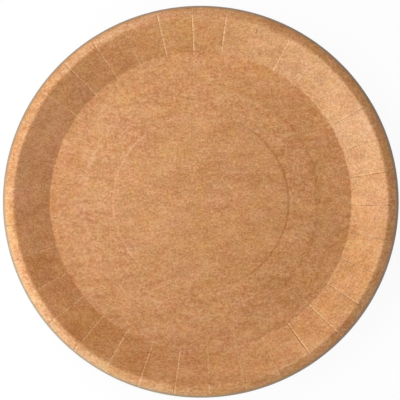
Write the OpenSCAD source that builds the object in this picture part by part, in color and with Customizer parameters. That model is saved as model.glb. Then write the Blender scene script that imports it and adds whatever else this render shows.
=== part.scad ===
// Pressed paperboard plate: one round blank of kraft board, scored round its
// edge and drawn in a die. The sheet has one thickness from the centre to the
// cut edge. Its flat base is embossed in two low steps, its wall rises to a
// crest, a lip slopes down from the crest and ends in a rolled edge, and the
// spare board of the wall and lip is taken up by pressed pleats: a fine slit on
// top, and the fold beneath it.

/* [Plate] */
// Diameter across the rim
plate_d = 180; // [165:1:240]
// Height from the table to the top of the rim
plate_h = 15; // [10:0.5:24]
// Thickness of the board
board_t = 0.4; // [0.3:0.05:0.6]

/* [Base] */
// Diameter of the base, up to the start of the foot bend
base_d = 138; // [118:1:150]
// Inside radius of the foot bend, on the upper face
foot_r = 1; // [0.6:0.1:3]
// Diameter of the raised centre disc, at the middle of its step
disc_d = 80.5; // [50:0.5:100]
// Height of the step round the centre disc
disc_step_h = 0.3; // [0.1:0.05:0.8]
// Width of the step round the centre disc, in plan
disc_step_w = 1.6; // [1.2:0.1:4]
// Diameter of the outer, softer step, at its middle
ring_d = 108; // [106:0.5:114]
// Height of the outer step
ring_step_h = 0.3; // [0.1:0.05:0.8]
// Width of the outer step, in plan
ring_step_w = 3.4; // [1.6:0.1:5]

/* [Rim] */
// Outside radius of the bend at the top of the wall
crest_r = 1.6; // [1.2:0.1:3]
// Slope at which the crest bend passes into the lip
crest_slope = 10; // [5:1:20]
// Outside radius of the sloping lip
lip_r = 9; // [6:0.5:16]
// Slope at which the lip passes into its rolled edge
lip_slope = 26; // [22:1:40]
// Outside radius of the rolled edge
edge_r = 4; // [2:0.1:5]
// Slope of the rolled edge where the board is cut
edge_slope = 84; // [60:1:88]

/* [Pleats] */
// Number of pleats round the wall
pleat_count = 34; // [16:1:60]
// Angle of the first pleat, from the +X axis
pleat_angle = 8.1; // [0:0.1:20]
// How far the slit of a pleat runs in past the foot bend
slit_lead = 1.2; // [0.5:0.1:4]
// Width of the slit at the crest
slit_w = 0.3; // [0.2:0.05:0.6]
// Depth of the slit below the upper face
slit_depth = 0.22; // [0.1:0.02:0.28]
// Width of the pressed fold under the slit, at the crest
fold_w = 1.6; // [1:0.1:3]
// Height of the pressed fold below the lower face
fold_h = 0.2; // [0.1:0.02:0.4]
// Clearance between the lowest end of a fold and the table
fold_lift = 0.06; // [0.04:0.02:0.2]
// How far a fold stops short of the cut edge of the lip
fold_inset = 0.6; // [0.3:0.1:2]

/* [Hidden] */
$fn = 136;

half_t = board_t / 2;
kraft = [0.80, 0.58, 0.39];

// Straight pieces that approximate each bend
foot_pieces = 4;
crest_pieces = 5;
lip_pieces = 3;
edge_pieces = 4;
step_pieces = 2;
// How far the cutting tools of the slits reach past the board's surface
cut_margin = 0.5;

// Bend radii of the board's middle line
foot_mid = foot_r + half_t;
crest_mid = crest_r - half_t;
lip_mid = lip_r - half_t;
edge_mid = edge_r - half_t;

// The rolled edge reaches the plate's diameter where it is cut
edge_run = edge_mid * (sin(edge_slope) - sin(lip_slope));
lip_run = lip_mid * (sin(lip_slope) - sin(crest_slope));
crest_run = crest_mid * sin(crest_slope);
crest_x = plate_d / 2 - half_t * sin(edge_slope) - edge_run - lip_run - crest_run;
foot_c = [base_d / 2, half_t + foot_mid];
crest_c = [crest_x, plate_h - half_t - crest_mid];
lip_c = next_centre(crest_c, lip_mid - crest_mid, crest_slope);
edge_c = next_centre(lip_c, edge_mid - lip_mid, lip_slope);

// The wall is the straight line that touches both the foot bend and the crest bend
rise = crest_c - foot_c;
wall_slope = atan2(rise.y, rise.x) + asin((foot_mid + crest_mid) / norm(rise));

// Heights of the middle line on the three levels of the base
ring_z = half_t;
disc_z = ring_z + ring_step_h;
centre_z = disc_z + disc_step_h;

// Centre of the bend that carries on from a convex bend at a slope, with a radius that much larger
function next_centre(centre, growth, slope) = centre - growth * [sin(slope), cos(slope)];

// Points of a bend as [x, z, slope]; the radius is negative where the bend is convex
function bend(centre, radius, from, to, pieces) =
    [for (i = [0 : pieces])
        let (slope = from + (to - from) * i / pieces)
        [centre.x + radius * sin(slope), centre.y - radius * cos(slope), slope]];

// A soft step down in the base: a convex bend and a concave bend of one radius
function step_down(middle, width, top_z, height) =
    let (slope = 2 * atan(height / width))
    let (radius = width / (2 * sin(slope)))
    let (start = [middle - width / 2, top_z - radius])
    let (end = [middle + width / 2, top_z - height + radius])
    concat(
        bend(start, -radius, 0, -slope, step_pieces),
        [for (p = bend(end, radius, -slope, 0, step_pieces)) if (p[2] > -slope) p]
    );

// The point that lies a distance off the middle line, upwards where it is positive
function off_line(p, distance) = [p[0] - distance * sin(p[2]), p[1] + distance * cos(p[2])];

// The points of a bend without its first, where it carries on from the bend before it
function after_first(line) = [for (i = [1 : len(line) - 1]) line[i]];

// The middle line's last point carried on along its slope
function carry_on(p, distance) = [p[0] + distance * cos(p[2]), p[1] + distance * sin(p[2]), p[2]];

base_line = concat(
    [[0, centre_z, 0]],
    step_down(disc_d / 2, disc_step_w, centre_z, disc_step_h),
    step_down(ring_d / 2, ring_step_w, disc_z, ring_step_h)
);
foot_line = bend(foot_c, foot_mid, 0, wall_slope, foot_pieces);
crest_line = bend(crest_c, -crest_mid, wall_slope, -crest_slope, crest_pieces);
lip_line = bend(lip_c, -lip_mid, -crest_slope, -lip_slope, lip_pieces);
edge_line = bend(edge_c, -edge_mid, -lip_slope, -edge_slope, edge_pieces);
wall_line = concat(foot_line, crest_line, after_first(lip_line), after_first(edge_line));

// A fold starts up the foot bend, where it clears the table, and ends short of the edge
fold_start = acos((foot_r + board_t - fold_lift) / (foot_r + board_t + fold_h));
fold_end = edge_slope - fold_inset / edge_mid * 180 / PI;
fold_line = concat(
    bend(foot_c, foot_mid, fold_start, wall_slope, foot_pieces),
    crest_line,
    after_first(lip_line),
    after_first(bend(edge_c, -edge_mid, -lip_slope, -fold_end, edge_pieces))
);

pleat_pitch = 360 / pleat_count;
slit_turn = slit_w / crest_x * 180 / PI;
fold_turn = fold_w / crest_x * 180 / PI;

// Section between two distances off a line
module strip(line, low, high) {
    last = len(line) - 1;
    polygon(concat(
        [for (p = line) off_line(p, low)],
        [for (i = [last : -1 : 0]) off_line(line[i], high)]
    ));
}

// A narrow sector of a section, centred on the section's plane
module sector(turn) {
    rotate([0, 0, -turn / 2]) rotate_extrude(angle = turn) children();
}

// The drawn sheet before it is pleated
module sheet() {
    rotate_extrude() strip(concat(base_line, wall_line), -half_t, half_t);
}

// Cut along the top of a pleat, from just inside the foot to past the cut edge
module slit() {
    edge = wall_line[len(wall_line) - 1];
    line = concat(
        [[base_d / 2 - slit_lead, half_t, 0]],
        wall_line,
        [carry_on(edge, cut_margin)]
    );
    sector(slit_turn) strip(line, half_t - slit_depth, half_t + cut_margin);
}

// Board folded under the slit of a pleat and pressed flat against the wall
module fold() {
    sector(fold_turn) strip(fold_line, -half_t - fold_h, 0);
}

// Copies of a shape at every pleat
module at_pleats() {
    for (i = [0 : pleat_count - 1]) rotate([0, 0, pleat_angle + i * pleat_pitch]) children();
}

module plate() {
    color(kraft) difference() {
        union() {
            sheet();
            at_pleats() fold();
        }
        at_pleats() slit();
    }
}

plate();
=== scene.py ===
"""A pressed kraft paper plate: its sheet, its board and its studio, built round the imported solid."""

import math
import random

import bmesh
import bpy
import numpy as np
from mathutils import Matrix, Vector


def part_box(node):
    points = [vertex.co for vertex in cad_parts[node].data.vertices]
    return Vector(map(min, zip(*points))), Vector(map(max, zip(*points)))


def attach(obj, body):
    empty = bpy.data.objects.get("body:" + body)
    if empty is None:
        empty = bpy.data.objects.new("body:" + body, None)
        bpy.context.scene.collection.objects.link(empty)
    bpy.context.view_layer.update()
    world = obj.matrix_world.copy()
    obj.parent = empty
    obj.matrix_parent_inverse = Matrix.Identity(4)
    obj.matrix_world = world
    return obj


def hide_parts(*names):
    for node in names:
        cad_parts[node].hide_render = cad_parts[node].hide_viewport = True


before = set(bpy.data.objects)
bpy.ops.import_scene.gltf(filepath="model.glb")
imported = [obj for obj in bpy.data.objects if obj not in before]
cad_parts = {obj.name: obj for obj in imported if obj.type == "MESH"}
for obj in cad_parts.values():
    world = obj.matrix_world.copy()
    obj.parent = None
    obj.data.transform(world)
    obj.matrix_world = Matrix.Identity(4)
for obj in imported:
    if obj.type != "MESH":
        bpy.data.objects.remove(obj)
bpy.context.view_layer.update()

# Sizes of the plate, in metres
MM = 0.001
PLATE_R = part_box("plate")[1].x
PLATE_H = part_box("plate")[1].z
BOARD_T = 0.4 * MM
HALF_T = BOARD_T / 2
# The base: its radius, the bend up to the wall, and its two soft steps as (width, height)
BASE_R = 69 * MM
FOOT_BEND = 1.0 * MM + HALF_T
DISC_R = 40.25 * MM
DISC_STEP = (1.6 * MM, 0.3 * MM)
RING_R = 54 * MM
RING_STEP = (3.4 * MM, 0.3 * MM)
# The rim: the radii of its three bends, and how far it slopes down where each ends
CREST_BEND = 1.6 * MM - HALF_T
CREST_SLOPE = math.radians(10)
LIP_BEND = 9 * MM - HALF_T
LIP_SLOPE = math.radians(26)
EDGE_BEND = 4 * MM - HALF_T
EDGE_SLOPE = math.radians(84)
# Where the lip starts beyond the crest
LIP_R = (85.5 * MM, 87 * MM)
# Where painted shade turns the rolled edge grey towards its cut
EDGE_R = (88.2 * MM, 89.6 * MM)
# The board has dried a little oval, longer along X
OVAL = (1.0048, 0.9949, 1)

# Pleats: the scored pattern lies a little off the centre of the die, towards +Y
PLEAT_COUNT = 34
PLEAT_PITCH = math.tau / PLEAT_COUNT
PLEAT_START = math.radians(8.1)
PLEAT_SHIFT = 1.7 * MM
# Radius at which the sizes across a pleat are measured
PLEAT_R = 80 * MM
# Where a pleat starts inside the foot bend, and where it has its full depth
PLEAT_IN_R = (67.4 * MM, 70.5 * MM)
# Where a fold of the underside is clear of the table, and where it has its full height
FOLD_IN_R = (BASE_R + FOOT_BEND / 3, BASE_R + FOOT_BEND)
# Where a wall panel starts and stops being flat between its creases
FLAT_IN_R = (69.5 * MM, 73.5 * MM)
FLAT_OUT_R = (79.5 * MM, 84 * MM)
# Relief of the pleats on the sheet
SLIT_DEPTH = 0.2 * MM
SHOULDER_H = 0.05 * MM
FOLD_H = 0.2 * MM
FLAT_SAG = 0.24 * MM
LAP_H = 0.1 * MM

# Distances from a crease at which the sheet has a line of points, and the shape of each relief there
CREASE_LINES = [distance * MM for distance in (0, 0.1, 0.22, 0.4, 0.8, 1.6, 3.0)]
SLIT_SHAPE = (1, 0.6, 0.15, 0, 0, 0, 0)
SHOULDER_SHAPE = (0, 0, 0.3, 1, 0.7, 0.1, 0)
FOLD_SHAPE = (1, 1, 1, 1, 0.85, 0, 0)
LAP_SHAPE = (0.4, 0.8, 1, 1, 0.85, 0.5, 0.15)
# The shape of the worn side of a crease with its painted highlight, and of the side with painted shade, at
# the same distances
WEAR_AND_HIGHLIGHT_SHAPE = (0.8, 1, 1, 0.5, 0, 0, 0)
SHADE_SHAPE = (1, 0.8, 0.5, 0.1, 0, 0, 0)
# Points of the sheet this near to a crease belong to both of its sides
ON_CREASE = 0.05 * MM
# Lines of points on the panel between two creases, as shares of the way
PANEL_LINES = (0.34, 0.5, 0.66)
# Points closer than this are merged
MERGE = 0.005 * MM
# Points whose share of a relief is less than this stay where they are
LEAST_SHARE = 0.001
# Edges of the mesh that are sharper than this stay sharp
SMOOTH_ANGLE = math.radians(40)

# How far the slits are open on the wall, and how much more on the side where they are widest
WALL_GAP = 0.4
WALL_GAP_MORE = 0.55
WALL_GAP_SPREAD = (0.6, 1.3)
# Angle of that side, from +X towards the front
OPEN_TURN = math.radians(25)
# How far the slits are open on the lip, and how much more on the left and less on the right
LIP_GAP = 0.5
LIP_GAP_MORE = 0.4
LIP_GAP_SPREAD = (0.6, 1.2)
# Length of the stretches in which a slit opens and closes again, and how far it does
BROKEN_LENGTH = 11 * MM
BROKEN = 0.3
# How worn the creases are, with their painted highlight, what is added at the front and the back, and what
# the back gives to the front
WORN_AND_LIT = 0.5
WORN_AND_LIT_MORE = 0.45
WORN_AND_LIT_FRONT = 0.1
WORN_AND_LIT_SPREAD = (0.8, 1.25)
# Wear and painted highlight at the foot, what they lose on the way up to the lip, and the most that a
# crease is spared on the lip
WEAR_AND_HIGHLIGHT_FOOT = 1.3
WEAR_AND_HIGHLIGHT_LOSS = 0.45
WEAR_AND_HIGHLIGHT_SPARED = 0.8
# Start of the random numbers by which single pleats differ
PLEAT_SEED = 34


def bend(centre, radius, start, end, pieces):
    """Points of a bend of the middle line as (x, z); the radius is negative where it is convex."""
    points = []
    for i in range(pieces + 1):
        slope = start + (end - start) * i / pieces
        points.append((centre[0] + radius * math.sin(slope), centre[1] - radius * math.cos(slope)))
    return points


def step_down(middle, size, top, pieces=4):
    """A soft step down in the base, as a convex bend and a concave bend of one radius."""
    width, height = size
    slope = 2 * math.atan(height / width)
    radius = width / (2 * math.sin(slope))
    upper = bend((middle - width / 2, top - radius), -radius, 0, -slope, pieces)
    lower = bend((middle + width / 2, top - height + radius), radius, -slope, 0, pieces)
    return upper + lower[1:]


def carry_on(centre, growth, slope):
    """Centre of the bend that carries on from a convex bend at a slope, with a radius that much larger."""
    return (centre[0] - growth * math.sin(slope), centre[1] - growth * math.cos(slope))


def straight(start, end, pieces):
    """Points between two points of the middle line, without the ends."""
    shares = [i / pieces for i in range(1, pieces)]
    return [tuple(a + (b - a) * t for a, b in zip(start, end)) for t in shares]


def middle_line():
    """The sheet's middle line from the centre of the base to the cut edge of the lip."""
    edge_x = PLATE_R - HALF_T * math.sin(EDGE_SLOPE)
    edge_run = EDGE_BEND * (math.sin(EDGE_SLOPE) - math.sin(LIP_SLOPE))
    lip_run = LIP_BEND * (math.sin(LIP_SLOPE) - math.sin(CREST_SLOPE))
    crest_x = edge_x - edge_run - lip_run - CREST_BEND * math.sin(CREST_SLOPE)
    foot = (BASE_R, HALF_T + FOOT_BEND)
    crest = (crest_x, PLATE_H - HALF_T - CREST_BEND)
    lip = carry_on(crest, LIP_BEND - CREST_BEND, CREST_SLOPE)
    edge = carry_on(lip, EDGE_BEND - LIP_BEND, LIP_SLOPE)
    run, rise = crest[0] - foot[0], crest[1] - foot[1]
    wall_slope = math.atan2(rise, run) + math.asin((FOOT_BEND + CREST_BEND) / math.hypot(run, rise))

    ring_z = HALF_T
    disc_z = ring_z + RING_STEP[1]
    centre_z = disc_z + DISC_STEP[1]
    disc_step = step_down(DISC_R, DISC_STEP, centre_z)
    ring_step = step_down(RING_R, RING_STEP, disc_z)
    foot_bend = bend(foot, FOOT_BEND, 0, wall_slope, pieces=8)
    crest_bend = bend(crest, -CREST_BEND, wall_slope, -CREST_SLOPE, pieces=10)
    lip_bend = bend(lip, -LIP_BEND, -CREST_SLOPE, -LIP_SLOPE, pieces=5)
    edge_bend = bend(edge, -EDGE_BEND, -LIP_SLOPE, -EDGE_SLOPE, pieces=9)
    centre = (0, centre_z)
    line = [centre] + straight(centre, disc_step[0], pieces=3) + disc_step
    line += straight(disc_step[-1], ring_step[0], pieces=2) + ring_step
    line += straight(ring_step[-1], foot_bend[0], pieces=5) + foot_bend
    line += straight(foot_bend[-1], crest_bend[0], pieces=8) + crest_bend
    return line + lip_bend[1:] + edge_bend[1:]


def pleat_stations():
    """Angles from one crease to the next where the sheet has a line of points, close at the creases."""
    near = [distance / PLEAT_R for distance in CREASE_LINES]
    panel = [PLEAT_PITCH * share for share in PANEL_LINES]
    return near + panel + [PLEAT_PITCH - angle for angle in reversed(near)]


def crease_angles():
    """Angles of the creases round the plate, as the off-centre scoring leaves them."""
    even = [PLEAT_START + k * PLEAT_PITCH for k in range(PLEAT_COUNT)]
    return [angle + PLEAT_SHIFT / PLEAT_R * math.cos(angle) for angle in even]


def place(mesh):
    """Coordinates of a mesh's points as an array."""
    co = np.empty(len(mesh.vertices) * 3)
    mesh.vertices.foreach_get("co", co)
    return co.reshape(-1, 3)


def round_angle(co):
    """Angle of each point round the plate's axis, from 0 to a full turn."""
    return np.arctan2(co[:, 1], co[:, 0]) % math.tau


def draw_line(points):
    """Draws a chain of edges through points of the XZ plane, from one point of a merged plane."""
    bpy.ops.object.select_all(action="DESELECT")
    bpy.ops.mesh.primitive_plane_add(size=MM)
    bpy.ops.object.mode_set(mode="EDIT")
    bpy.ops.mesh.select_mode(type="VERT")
    bpy.ops.mesh.select_all(action="SELECT")
    bpy.ops.mesh.merge(type="CENTER")
    bpy.ops.transform.translate(value=(points[0][0], 0, points[0][1]))
    for (x0, z0), (x1, z1) in zip(points, points[1:]):
        bpy.ops.mesh.extrude_region_move(TRANSFORM_OT_translate={"value": (x1 - x0, 0, z1 - z0)})
    bpy.ops.mesh.select_all(action="SELECT")
    return bpy.context.object


def turn_points(mesh, chosen, angle):
    """Turns the chosen points of the mesh in edit mode about the plate's axis."""
    bpy.ops.mesh.select_all(action="DESELECT")
    points = bmesh.from_edit_mesh(mesh).verts
    points.ensure_lookup_table()
    for number in chosen:
        points[number].select = True
    bpy.ops.transform.rotate(value=-angle, orient_axis="Z", center_override=(0, 0, 0))


def spin_sheet():
    """The drawn sheet with no thickness: one pleat is spun from the middle line and copied round."""
    sheet = draw_line(middle_line())
    sheet.name = sheet.data.name = "kraft_plate"
    stations = pleat_stations()
    for here, following in zip(stations, stations[1:]):
        bpy.ops.mesh.spin(steps=1, angle=following - here, center=(0, 0, 0), axis=(0, 0, 1))
    bpy.ops.mesh.select_all(action="SELECT")
    copies = PLEAT_COUNT - 1
    bpy.ops.mesh.spin(
        steps=copies, dupli=True, angle=copies * PLEAT_PITCH, center=(0, 0, 0), axis=(0, 0, 1)
    )
    bpy.ops.mesh.select_all(action="SELECT")
    bpy.ops.mesh.remove_doubles(threshold=MERGE)
    bpy.ops.mesh.normals_make_consistent(inside=False)
    bpy.ops.object.mode_set(mode="OBJECT")
    return sheet


def turn_to_creases(sheet, creases):
    """Turns the evenly copied pleats, and the panels between them, to where the scoring put them."""
    pitches = round_angle(place(sheet.data)) / PLEAT_PITCH
    nearest = np.round(pitches)
    crease_reach = (CREASE_LINES[-1] + ON_CREASE) / PLEAT_R
    at_crease = np.abs(pitches - nearest) * PLEAT_PITCH < crease_reach
    turns = [crease - k * PLEAT_PITCH for k, crease in enumerate(creases)]
    bpy.ops.object.mode_set(mode="EDIT")
    for k, turn in enumerate(turns):
        following = turns[(k + 1) % PLEAT_COUNT]
        turn_points(sheet.data, np.flatnonzero(at_crease & (nearest % PLEAT_COUNT == k)), turn)
        on_panel = ~at_crease & (np.floor(pitches) == k)
        turn_points(sheet.data, np.flatnonzero(on_panel), (turn + following) / 2)
    bpy.ops.object.mode_set(mode="OBJECT")


def smooth_step(low, high, values):
    """Rises softly from 0 at low to 1 at high."""
    share = np.clip((values - low) / (high - low), 0, 1)
    return share * share * (3 - 2 * share)


class PleatMap:
    """Where each point of the sheet lies among the pleats."""

    def __init__(self, mesh, creases):
        co = place(mesh)
        self.radius = np.hypot(co[:, 0], co[:, 1])
        away = round_angle(co)[:, None] - np.array(creases)[None, :]
        away = (away + math.pi) % math.tau - math.pi
        self.pleat = np.abs(away).argmin(1)
        self.across = away[np.arange(len(co)), self.pleat] * PLEAT_R
        self.rise = smooth_step(*PLEAT_IN_R, self.radius)
        self.on_lip = smooth_step(*LIP_R, self.radius)

    def shape(self, heights):
        """A relief or a mark given by its heights at the crease lines."""
        return np.interp(np.abs(self.across), CREASE_LINES, heights)

    def share(self, amounts):
        """An amount of its own for each pleat."""
        return np.array(amounts)[self.pleat]


def press(sheet, name, weights, depth):
    """Moves the sheet's points along their normals, each by its weight times the depth."""
    group = sheet.vertex_groups.new(name=name)
    for number in np.flatnonzero(weights > LEAST_SHARE):
        group.add([int(number)], float(weights[number]), "REPLACE")
    relief = sheet.modifiers.new(name, "DISPLACE")
    relief.vertex_group = name
    relief.mid_level = 0
    relief.strength = depth
    bpy.ops.object.modifier_apply(modifier=name)
    sheet.vertex_groups.remove(sheet.vertex_groups[name])


def mark(sheet, name, amounts):
    """Stores an amount at every point of the sheet, for the material to read."""
    marks = sheet.data.attributes.new(name, "FLOAT", "POINT")
    marks.data.foreach_set("value", np.asarray(amounts, dtype=np.float32))


def thicken(sheet):
    """Gives the sheet the thickness of its board, equally to both sides."""
    board = sheet.modifiers.new("board", "SOLIDIFY")
    board.thickness = BOARD_T
    board.offset = 0
    board.use_even_offset = True
    bpy.ops.object.modifier_apply(modifier="board")


def press_panels(sheet, pleats, laps):
    """Flattens the wall panels between their creases, and raises one side of each crease over the other."""
    half_panel = PLEAT_PITCH / 2 * PLEAT_R
    sag = np.clip(1 - np.abs(pleats.across) / half_panel, 0, 1) ** 2
    flat = smooth_step(*FLAT_IN_R, pleats.radius) * (1 - smooth_step(*FLAT_OUT_R, pleats.radius))
    press(sheet, "flat_panels", sag * flat, -FLAT_SAG)
    for name, side in (("lap_left", 1), ("lap_right", -1)):
        raised = np.clip(side * pleats.share(laps), 0, 1) * (side * pleats.across > 0)
        press(sheet, name, pleats.shape(LAP_SHAPE) * raised * pleats.rise * (1 - pleats.on_lip), LAP_H)


def varied(amounts, spread, chance):
    """One amount for each pleat, times a factor of its own from the spread."""
    return [amount * chance.uniform(*spread) for amount in amounts]


def slit_openings(pleats, creases, chance):
    """How far the slit nearest to each point is open there."""
    facing = [max(0, math.cos(angle + OPEN_TURN)) for angle in creases]
    on_wall = varied([WALL_GAP + WALL_GAP_MORE * share ** 2 for share in facing], WALL_GAP_SPREAD, chance)
    on_lip = varied([LIP_GAP - LIP_GAP_MORE * math.cos(a) for a in creases], LIP_GAP_SPREAD, chance)
    phases = [chance.uniform(0, math.tau) for _ in creases]
    openings = pleats.share(on_wall) * (1 - pleats.on_lip) + pleats.share(on_lip) * pleats.on_lip
    waves = np.sin(pleats.radius / BROKEN_LENGTH * math.tau + pleats.share(phases))
    return pleats.rise * openings * (1 - BROKEN + BROKEN * waves)


def crease_wear_and_highlight(pleats, creases, chance):
    """How worn the crease nearest to each point is there, with its painted highlight."""
    backs = [math.sin(angle) for angle in creases]
    worn_lit_amounts = varied([WORN_AND_LIT + WORN_AND_LIT_MORE * abs(back) - WORN_AND_LIT_FRONT * back for back in backs], WORN_AND_LIT_SPREAD, chance)
    spared = [chance.uniform(0, WEAR_AND_HIGHLIGHT_SPARED) for _ in creases]
    climb = smooth_step(BASE_R, LIP_R[0], pleats.radius)
    on_wall = pleats.rise * pleats.share(worn_lit_amounts) * (WEAR_AND_HIGHLIGHT_FOOT - WEAR_AND_HIGHLIGHT_LOSS * climb)
    return on_wall * (1 - pleats.share(spared) * pleats.on_lip)


def make_plate():
    """The plate as one closed board, with flat wall panels and pressed pleats."""
    chance = random.Random(PLEAT_SEED)
    creases = crease_angles()
    laps = [chance.uniform(-1, 1) for _ in creases]
    sheet = spin_sheet()
    turn_to_creases(sheet, creases)
    press_panels(sheet, PleatMap(sheet.data, creases), laps)
    points_of_a_face = len(sheet.data.vertices)
    thicken(sheet)

    pleats = PleatMap(sheet.data, creases)
    upper = np.arange(len(sheet.data.vertices)) < points_of_a_face
    openings = slit_openings(pleats, creases, chance)
    press(sheet, "slits", pleats.shape(SLIT_SHAPE) * openings * upper, -SLIT_DEPTH)
    press(sheet, "shoulders", pleats.shape(SHOULDER_SHAPE) * openings * upper, SHOULDER_H)
    clear = smooth_step(*FOLD_IN_R, pleats.radius)
    press(sheet, "folds", pleats.shape(FOLD_SHAPE) * clear * ~upper, FOLD_H)

    to_raised_side = pleats.across * np.sign(pleats.share(laps))
    # Painted shade in the open slits, on the lower side of each lap
    mark(sheet, "painted_shade_in_slits", pleats.shape(SHADE_SHAPE) * openings * (to_raised_side < ON_CREASE))
    # Wear of the creases with a painted highlight on the raised side of each lap
    wear_and_highlight = crease_wear_and_highlight(pleats, creases, chance)
    mark(sheet, "crease_wear_and_highlight", pleats.shape(WEAR_AND_HIGHLIGHT_SHAPE) * wear_and_highlight * (to_raised_side > -ON_CREASE))
    # Painted shade that greys the rolled edge towards its cut
    mark(sheet, "painted_edge_shade", smooth_step(*EDGE_R, pleats.radius))

    bpy.ops.object.mode_set(mode="EDIT")
    bpy.ops.mesh.select_all(action="SELECT")
    bpy.ops.transform.resize(value=OVAL, center_override=(0, 0, 0))
    bpy.ops.object.mode_set(mode="OBJECT")
    bpy.ops.object.shade_smooth_by_angle(angle=SMOOTH_ANGLE)
    return sheet


class Nodes:
    """The nodes of one material or world."""

    def __init__(self, owner):
        owner.use_nodes = True
        self.tree = owner.node_tree
        self.tree.nodes.clear()

    def node(self, kind, settings=None, inputs=None, output=0):
        """Adds a node, sets it up, fills or links its inputs and gives one of its outputs."""
        node = self.tree.nodes.new(kind)
        for name, value in (settings or {}).items():
            setattr(node, name, value)
        for name, value in (inputs or {}).items():
            socket = node.inputs[name]
            if isinstance(value, Value):
                self.tree.links.new(value.socket, socket)
            else:
                socket.default_value = value
        return Value(self, node.outputs[output]) if node.outputs else node

    def noise(self, spot, size, detail=0, roughness=0.5):
        """A soft random pattern with a mean of 0 and features of about a size."""
        inputs = {"Vector": spot, "Scale": 1 / size, "Detail": detail, "Roughness": roughness}
        return self.node("ShaderNodeTexNoise", inputs=inputs) - 0.5

    def turned(self, spot, angle=0, stretch=(1, 1, 1), shift=(0, 0, 0)):
        """Coordinates shifted, turned about Z and stretched, for a pattern that runs one way."""
        settings = {"vector_type": "TEXTURE"}
        turn = (0, 0, math.radians(angle))
        inputs = {"Vector": spot, "Location": shift, "Rotation": turn, "Scale": stretch}
        return self.node("ShaderNodeMapping", settings, inputs)

    def blend(self, share, first, second, kind="MIX"):
        """Two colours mixed or multiplied; a Mix node takes colours in 6 and 7 and gives one in 2."""
        settings = {"data_type": "RGBA", "blend_type": kind}
        return self.node("ShaderNodeMix", settings, {0: share, 6: first, 7: second}, output=2)

    def stored(self, name):
        """An amount that is stored at the points of the mesh."""
        return self.node("ShaderNodeAttribute", {"attribute_name": name}, output="Fac")


class Value:
    """An output of a node; sums on it in Python add Math nodes."""

    def __init__(self, nodes, socket):
        self.nodes = nodes
        self.socket = socket

    def math(self, operation, first, second):
        """Adds a Math node."""
        return self.nodes.node("ShaderNodeMath", {"operation": operation}, {0: first, 1: second})

    def __add__(self, other):
        return self.math("ADD", self, other)

    def __sub__(self, other):
        return self.math("SUBTRACT", self, other)

    def __rsub__(self, other):
        return self.math("SUBTRACT", other, self)

    def __mul__(self, other):
        return self.math("MULTIPLY", self, other)

    __radd__ = __add__
    __rmul__ = __mul__

    def clipped(self):
        """The value kept between 0 and 1."""
        return self.nodes.node("ShaderNodeClamp", inputs={"Value": self})

    def rise(self, low, high):
        """Rises softly from 0 where the value is low to 1 where it is high."""
        settings = {"interpolation_type": "SMOOTHSTEP"}
        ends = {"Value": self, "From Min": low, "From Max": high}
        return self.nodes.node("ShaderNodeMapRange", settings, ends)


def srgb(red, green, blue):
    """A colour written as it looks on screen, from 0 to 255, as the linear values of a socket."""
    def linear(value):
        share = value / 255
        return share / 12.92 if share <= 0.04045 else ((share + 0.055) / 1.055) ** 2.4
    return (linear(red), linear(green), linear(blue), 1)


# Colours of the board: its dark and pale fibres, its worn creases with painted highlight, the painted shade
# in its open slits and the painted shade that greys its rolled edge towards the cut
DARK_FIBRE = srgb(183, 120, 66)
PALE_FIBRE = srgb(230, 166, 110)
WORN_FIBRE_AND_HIGHLIGHT = srgb(240, 190, 140)
SHADE_PAINT_IN_SLITS = srgb(105, 66, 38)
EDGE_SHADE_PAINT = srgb(150, 122, 92)
BOARD_ROUGHNESS = 0.5
# Sizes of the clouds, grain, strands and specks, and of the patches of another tint
CLOUD_SIZE = 17 * MM
GRAIN_SIZE = 0.95 * MM
STRAND_SIZE = 0.5 * MM
SPECK_SIZE = 0.9 * MM
RED_PATCH_SIZE = 12 * MM
BLUE_PATCH_SIZE = 14 * MM
# How the patterns are stretched along X, Y and Z, and turned in degrees
CLOUD_STRETCH = (1.4, 0.8, 1)
GRAIN_STRETCH = (1.2, 1.05, 1)
STRAND_STRETCH = (7, 1, 1)
STRAND_TURNS = (15, -25)
RED_PATCH_TURN = 20
BLUE_PATCH_TURN = 70
# Which part of the cloud pattern falls on this plate
CLOUD_SHIFT = (0.421, -0.817, 0.06)
# What each pattern adds to the tone between the dark and the pale fibre; the specks are dark
CLOUD_TONE = 1.6
GRAIN_TONE = 1.95
STRAND_TONE = 0.35
SPECK_TONE = 0.4
# Heights of the speck pattern where a speck begins and is full
SPECK_RISE = (0.18, 0.3)
# How far the patches shift red, green and blue
RED_SHIFT = 0.17
GREEN_SHIFT = 0.1
BLUE_SHIFT = 0.75
# How far pale clouds and grain are less orange, and what that adds to green and blue
CLOUD_PALENESS = 0.1
GRAIN_PALENESS = 0.35
PALE_GREEN = 0.65
PALE_BLUE = 2.2
# How much of a crease its wear and painted highlight cover, and how far that follows the grain
WEAR_AND_HIGHLIGHT_COVER = 0.7
WEAR_AND_HIGHLIGHT_GRAIN = 4
# How dark the painted shade in the widest slits is
SLIT_SHADE = 0.55


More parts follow.
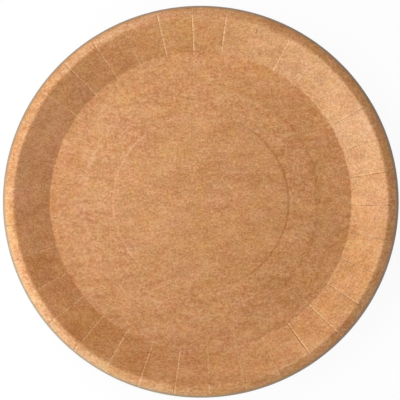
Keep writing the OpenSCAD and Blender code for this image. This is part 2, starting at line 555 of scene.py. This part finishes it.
def kraft_board():
    """Uncoated brown kraft board: clouds, grain and fibres of two tones, with patches of another tint, worn
    creases with painted highlight, and painted shade in the slits and along the rolled edge.
    """
    material = bpy.data.materials.new("pressed_kraft")
    nodes = Nodes(material)
    spot = nodes.node("ShaderNodeTexCoord", output="Object")
    cloud_spot = nodes.turned(spot, stretch=CLOUD_STRETCH, shift=CLOUD_SHIFT)
    clouds = nodes.noise(cloud_spot, CLOUD_SIZE, detail=3, roughness=1)
    grain = nodes.noise(nodes.turned(spot, stretch=GRAIN_STRETCH), GRAIN_SIZE, detail=1, roughness=1)
    strand_spots = [nodes.turned(spot, angle, STRAND_STRETCH) for angle in STRAND_TURNS]
    strands = sum(nodes.noise(strand_spot, STRAND_SIZE) for strand_spot in strand_spots)
    specks = nodes.noise(spot, SPECK_SIZE).rise(*SPECK_RISE)
    tone = 0.5 + clouds * CLOUD_TONE + grain * GRAIN_TONE + strands * STRAND_TONE - specks * SPECK_TONE
    colour = nodes.blend(tone, DARK_FIBRE, PALE_FIBRE)

    redness = nodes.noise(nodes.turned(spot, RED_PATCH_TURN), RED_PATCH_SIZE, detail=2, roughness=1)
    blueness = nodes.noise(nodes.turned(spot, BLUE_PATCH_TURN), BLUE_PATCH_SIZE, detail=2, roughness=1)
    paleness = clouds * CLOUD_PALENESS + grain * GRAIN_PALENESS
    shares = {
        "Red": 1 + redness * RED_SHIFT - paleness,
        "Green": 1 - redness * GREEN_SHIFT + paleness * PALE_GREEN,
        "Blue": 1 + blueness * BLUE_SHIFT + paleness * PALE_BLUE,
    }
    tint = nodes.node("ShaderNodeCombineColor", inputs=shares)
    colour = nodes.blend(1.0, colour, tint, "MULTIPLY")

    # Worn creases with a painted highlight
    wear_and_highlight = nodes.stored("crease_wear_and_highlight") * (grain * WEAR_AND_HIGHLIGHT_GRAIN + WEAR_AND_HIGHLIGHT_COVER).clipped()
    colour = nodes.blend(wear_and_highlight, colour, WORN_FIBRE_AND_HIGHLIGHT)
    # Painted shade in the open slits
    colour = nodes.blend(nodes.stored("painted_shade_in_slits") * SLIT_SHADE, colour, SHADE_PAINT_IN_SLITS)
    # Painted shade along the rolled edge
    colour = nodes.blend(nodes.stored("painted_edge_shade"), colour, EDGE_SHADE_PAINT)
    looks = {"Base Color": colour, "Roughness": BOARD_ROUGHNESS}
    shader = nodes.node("ShaderNodeBsdfPrincipled", inputs=looks)
    nodes.node("ShaderNodeOutputMaterial", inputs={"Surface": shader})
    return material


# The photograph in pixels: its width, the radius of the rim, and how far the rim's centre is off the middle
FRAME_PX = 400
RIM_PX = 197
CENTRE_PX = (0.8, -1.75)
# Height of the camera, and of the widest part of the rim
CAMERA_Z = 1.0
RIM_Z = 11 * MM


def add_camera():
    """A camera that looks straight down and shows the rim at its size in the photograph."""
    data = bpy.data.cameras.new("camera")
    camera = bpy.data.objects.new("camera", data)
    bpy.context.scene.collection.objects.link(camera)
    pixel = PLATE_R / RIM_PX
    data.lens = data.sensor_width / FRAME_PX * (CAMERA_Z - RIM_Z) / pixel
    camera.location = (-CENTRE_PX[0] * pixel, -CENTRE_PX[1] * pixel, CAMERA_Z)
    bpy.context.scene.camera = camera


# Colours of the light: low daylight from the left and front, and plain soft boxes
DAYLIGHT = (0.68, 0.92, 1)
NEUTRAL = (1, 1, 1)
# Soft boxes as (azimuth, elevation, distance, size, power, colour), in degrees, metres and watts
SOFT_BOXES = {
    "low_left": (200, 10, 0.6, 0.3, 2.16, DAYLIGHT),
    "low_front": (240, 10, 0.6, 0.3, 1.28, DAYLIGHT),
    "near_left": (210, 52, 0.4, 0.15, 0.27, NEUTRAL),
    "front_left": (240, 40, 0.6, 0.3, 0.69, NEUTRAL),
    "high_left": (150, 57, 0.4, 0.25, 0.55, NEUTRAL),
    "back_left": (120, 40, 0.6, 0.3, 1.49, NEUTRAL),
    "right": (0, 15, 0.8, 0.4, 0.85, NEUTRAL),
    "front_right": (330, 15, 0.8, 0.4, 1.09, NEUTRAL),
}


def add_lights():
    """Soft boxes that face the plate, in a dark room."""
    for name, (azimuth, elevation, distance, size, power, colour) in SOFT_BOXES.items():
        data = bpy.data.lights.new(name, "AREA")
        data.shape = "DISK"
        data.size = size
        data.energy = power
        data.color = colour
        lamp = bpy.data.objects.new(name, data)
        turn, lift = math.radians(azimuth), math.radians(elevation)
        away = Vector((math.cos(turn) * math.cos(lift), math.sin(turn) * math.cos(lift), math.sin(lift)))
        lamp.location = away * distance
        lamp.rotation_euler = away.to_track_quat("Z", "Y").to_euler()
        lamp.visible_camera = False
        bpy.context.scene.collection.objects.link(lamp)
    world = bpy.data.worlds.new("studio")
    bpy.context.scene.world = world
    nodes = Nodes(world)
    room = nodes.node("ShaderNodeBackground", inputs={"Strength": 0})
    nodes.node("ShaderNodeOutputWorld", inputs={"Surface": room})


# Side of the floor in metres, and its matte colour
FLOOR_SIZE = 40
FLOOR_MATTE = (0.9, 0.9, 0.9, 1)
# Share of pure white in what the camera sees of the floor; the rest shows the plate's shadow
FLOOR_WHITE = 0.94
PURE_WHITE = (1, 1, 1, 1)
# Kinds of ray that see that white; light on its way to the plate doesn't
SEEN_RAYS = ("Camera", "Glossy", "Transmission")


def add_floor():
    """A plain white floor under the plate."""
    bpy.ops.object.select_all(action="DESELECT")
    bpy.ops.mesh.primitive_plane_add(size=FLOOR_SIZE)
    floor = bpy.context.object
    floor.name = floor.data.name = "floor"
    material = bpy.data.materials.new("floor_white")
    nodes = Nodes(material)
    matte = nodes.node("ShaderNodeBsdfDiffuse", inputs={"Color": FLOOR_MATTE})
    glow = nodes.node("ShaderNodeEmission", inputs={"Color": PURE_WHITE, "Strength": 1})
    seen = sum(nodes.node("ShaderNodeLightPath", output=f"Is {kind} Ray") for kind in SEEN_RAYS)
    white = seen.clipped() * FLOOR_WHITE
    surface = nodes.node("ShaderNodeMixShader", inputs={0: white, 1: matte, 2: glow})
    nodes.node("ShaderNodeOutputMaterial", inputs={"Surface": surface})
    floor.data.materials.append(material)


plate = make_plate()
plate.data.materials.clear()
plate.data.materials.append(kraft_board())
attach(plate, "root")
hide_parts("plate")
add_camera()
add_lights()
add_floor()
bpy.context.scene.view_settings.view_transform = "Standard"
